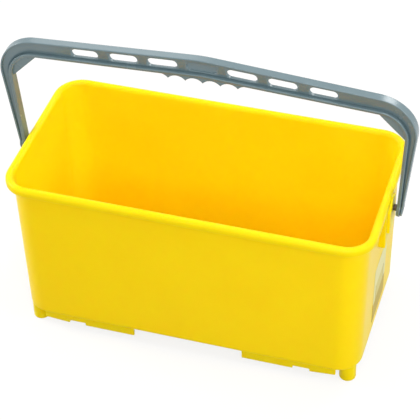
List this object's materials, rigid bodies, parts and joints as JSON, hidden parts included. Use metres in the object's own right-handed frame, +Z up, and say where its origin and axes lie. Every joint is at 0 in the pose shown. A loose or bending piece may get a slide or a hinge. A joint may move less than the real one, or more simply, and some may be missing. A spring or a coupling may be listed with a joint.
{
  "type": "window cleaning bucket",
  "caption": "Long rectangular cleaning bucket with a rolled rim, round feet, and a swinging bail handle with a scalloped finger grip.",
  "frame": {"origin": "on the ground under the middle of the bucket, level with the bottoms of the feet", "axes": "+X along the long sides to the labelled end, -Y to the front, +Z up"},
  "size_m": [0.6, 0.271, 0.4586],
  "materials": {
    "yellow_plastic": "satin injection moulded polypropylene",
    "grey_plastic": "satin injection moulded polypropylene",
    "dark_plastic": "smooth moulded nylon",
    "label_film": "blank printed film, self adhesive"
  },
  "bodies": {
    "bucket": {"bucket_body": "yellow_plastic", "end_label": "label_film"},
    "bail": {"bail_handle": "grey_plastic", "pivot_pin_right": "dark_plastic", "pivot_pin_left": "dark_plastic"}
  },
  "joints": [
    {"name": "bail_swing", "type": "hinge", "parent": "bucket", "child": "bail", "pos_m": [0, 0, 0.2465], "axis": [1, 0, 0], "range_deg": [-128, 123]}
  ]
}
